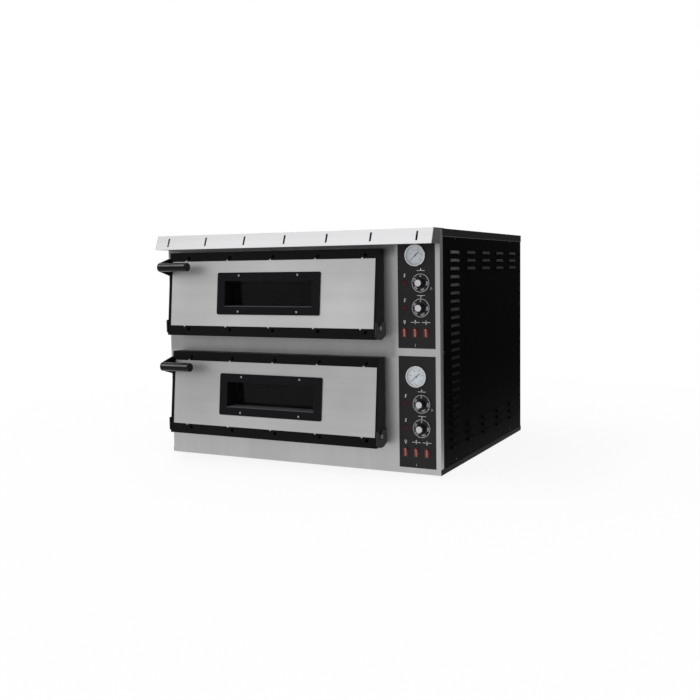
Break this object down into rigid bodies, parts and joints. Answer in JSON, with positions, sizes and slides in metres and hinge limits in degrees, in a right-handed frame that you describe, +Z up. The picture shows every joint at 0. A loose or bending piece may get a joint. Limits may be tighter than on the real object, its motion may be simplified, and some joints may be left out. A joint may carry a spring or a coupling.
{
  "type": "countertop pizza oven",
  "caption": "Double-deck electric pizza oven with drop-down glazed doors, stone-floored chambers, dial controls and a vented hood.",
  "frame": {"origin": "middle of the oven's footprint box at the underside of its feet", "axes": "+X to the right seen from the front, +Y from the front to the back, +Z up"},
  "size_m": [1.0172, 0.9844, 0.7592],
  "materials": {
    "stainless": "satin stainless sheet",
    "hood_steel": "bright satin stainless sheet",
    "black_paint": "black powder coat",
    "door_black": "satin black enamel",
    "bezel_black": "semi-gloss black",
    "bracket_black": "rough black coat",
    "galvanised": "galvanised sheet",
    "chamber_steel": "aluminised steel sheet",
    "stone": "unglazed baking stone",
    "element": "dark oxidised tube",
    "wool": "mineral wool",
    "window_glass": "heat-resistant glass",
    "clear_glass": "clear glass",
    "copper": "plain copper",
    "seal_black": "woven glass fibre",
    "grip_plastic": "satin black thermoset",
    "overlay": "satin black printed panel",
    "gauge_metal": "polished rim",
    "dial_face": "white printed dial",
    "needle_blue": "dark blue paint",
    "knob_black": "black thermoset",
    "switch_black": "black plastic",
    "rocker_red": "translucent red plastic",
    "lens_red": "dark red lens",
    "cream_plastic": "cream thermoset",
    "screw_steel": "bright zinc plate",
    "screw_dark": "black plated screw",
    "foot_rubber": "moulded rubber",
    "gland_nylon": "black nylon"
  },
  "bodies": {
    "casing": {"base_pan": "black_paint", "feet": "foot_rubber", "frame_rails": "galvanised", "front_panel": "stainless", "left_side_panel": "black_paint", "right_side_panel": "black_paint", "back_panel": "black_paint", "top_cover": "black_paint", "hood": "hood_steel", "casing_screws": "screw_dark", "bulkhead": "galvanised", "chamber_lower": "chamber_steel", "chamber_upper": "chamber_steel", "stones": "stone", "heating_elements": "element", "insulation": "wool", "lamp_holders": "galvanised", "oven_lamps": "clear_glass", "sensor_bulbs": "copper", "mouth_seals": "seal_black", "hinge_brackets": "bracket_black", "control_plates": "overlay", "gauge_cases": "gauge_metal", "gauge_dials": "dial_face", "gauge_glasses": "clear_glass", "thermostats": "cream_plastic", "pilot_lamps": "lens_red", "switch_housings": "switch_black", "terminal_block": "cream_plastic", "cable_gland": "gland_nylon"},
    "lower_door": {"door_frame_lower": "door_black", "door_skin_lower": "stainless", "door_liner_lower": "chamber_steel", "door_glass_lower": "window_glass", "window_bezel_lower": "bezel_black", "door_insulation_lower": "wool", "handle_arm_lower": "door_black", "handle_grip_lower": "grip_plastic", "door_screws_lower": "screw_steel"},
    "lower_needle": {"needle_lower": "needle_blue"},
    "lower_floor_knob": {"floor_knob_lower": "knob_black"},
    "lower_ceiling_knob": {"ceiling_knob_lower": "knob_black"},
    "lower_lamp_rocker": {"lamp_rocker_lower": "rocker_red"},
    "lower_ceiling_rocker": {"ceiling_rocker_lower": "rocker_red"},
    "lower_floor_rocker": {"floor_rocker_lower": "rocker_red"},
    "upper_door": {"door_frame_upper": "door_black", "door_skin_upper": "stainless", "door_liner_upper": "chamber_steel", "door_glass_upper": "window_glass", "window_bezel_upper": "bezel_black", "door_insulation_upper": "wool", "handle_arm_upper": "door_black", "handle_grip_upper": "grip_plastic", "door_screws_upper": "screw_steel"},
    "upper_needle": {"needle_upper": "needle_blue"},
    "upper_floor_knob": {"floor_knob_upper": "knob_black"},
    "upper_ceiling_knob": {"ceiling_knob_upper": "knob_black"},
    "upper_lamp_rocker": {"lamp_rocker_upper": "rocker_red"},
    "upper_ceiling_rocker": {"ceiling_rocker_upper": "rocker_red"},
    "upper_floor_rocker": {"floor_rocker_upper": "rocker_red"}
  },
  "joints": [
    {"name": "lower_door_hinge", "type": "hinge", "parent": "casing", "child": "lower_door", "pos_m": [-0.0705, -0.42465, 0.122], "axis": [1, 0, 0], "range_deg": [0, 90]},
    {"name": "lower_needle_turn", "type": "hinge", "parent": "casing", "child": "lower_needle", "pos_m": [0.425, -0.37865, 0.3065], "axis": [0, 1, 0], "range_deg": [0, 264], "stiffness_Nm_per_rad": 0.0001},
    {"name": "lower_floor_knob_turn", "type": "hinge", "parent": "casing", "child": "lower_floor_knob", "pos_m": [0.442, -0.37865, 0.14717], "axis": [0, 1, 0], "range_deg": [0, 300]},
    {"name": "lower_ceiling_knob_turn", "type": "hinge", "parent": "casing", "child": "lower_ceiling_knob", "pos_m": [0.442, -0.37865, 0.22283], "axis": [0, 1, 0], "range_deg": [0, 300]},
    {"name": "lower_lamp_rocker_tilt", "type": "hinge", "parent": "casing", "child": "lower_lamp_rocker", "pos_m": [0.3875, -0.37865, 0.0715], "axis": [-1, 0, 0], "range_deg": [0, 16]},
    {"name": "lower_ceiling_rocker_tilt", "type": "hinge", "parent": "casing", "child": "lower_ceiling_rocker", "pos_m": [0.4229, -0.37865, 0.0715], "axis": [-1, 0, 0], "range_deg": [0, 16]},
    {"name": "lower_floor_rocker_tilt", "type": "hinge", "parent": "casing", "child": "lower_floor_rocker", "pos_m": [0.4583, -0.37865, 0.0715], "axis": [-1, 0, 0], "range_deg": [0, 16]},
    {"name": "upper_door_hinge", "type": "hinge", "parent": "casing", "child": "upper_door", "pos_m": [-0.0705, -0.42465, 0.456], "axis": [1, 0, 0], "range_deg": [0, 90]},
    {"name": "upper_needle_turn", "type": "hinge", "parent": "casing", "child": "upper_needle", "pos_m": [0.425, -0.37865, 0.6765], "axis": [0, 1, 0], "range_deg": [0, 264], "stiffness_Nm_per_rad": 0.0001},
    {"name": "upper_floor_knob_turn", "type": "hinge", "parent": "casing", "child": "upper_floor_knob", "pos_m": [0.442, -0.37865, 0.51717], "axis": [0, 1, 0], "range_deg": [0, 300]},
    {"name": "upper_ceiling_knob_turn", "type": "hinge", "parent": "casing", "child": "upper_ceiling_knob", "pos_m": [0.442, -0.37865, 0.59283], "axis": [0, 1, 0], "range_deg": [0, 300]},
    {"name": "upper_lamp_rocker_tilt", "type": "hinge", "parent": "casing", "child": "upper_lamp_rocker", "pos_m": [0.3875, -0.37865, 0.4415], "axis": [-1, 0, 0], "range_deg": [0, 16]},
    {"name": "upper_ceiling_rocker_tilt", "type": "hinge", "parent": "casing", "child": "upper_ceiling_rocker", "pos_m": [0.4229, -0.37865, 0.4415], "axis": [-1, 0, 0], "range_deg": [0, 16]},
    {"name": "upper_floor_rocker_tilt", "type": "hinge", "parent": "casing", "child": "upper_floor_rocker", "pos_m": [0.4583, -0.37865, 0.4415], "axis": [-1, 0, 0], "range_deg": [0, 16]}
  ]
}
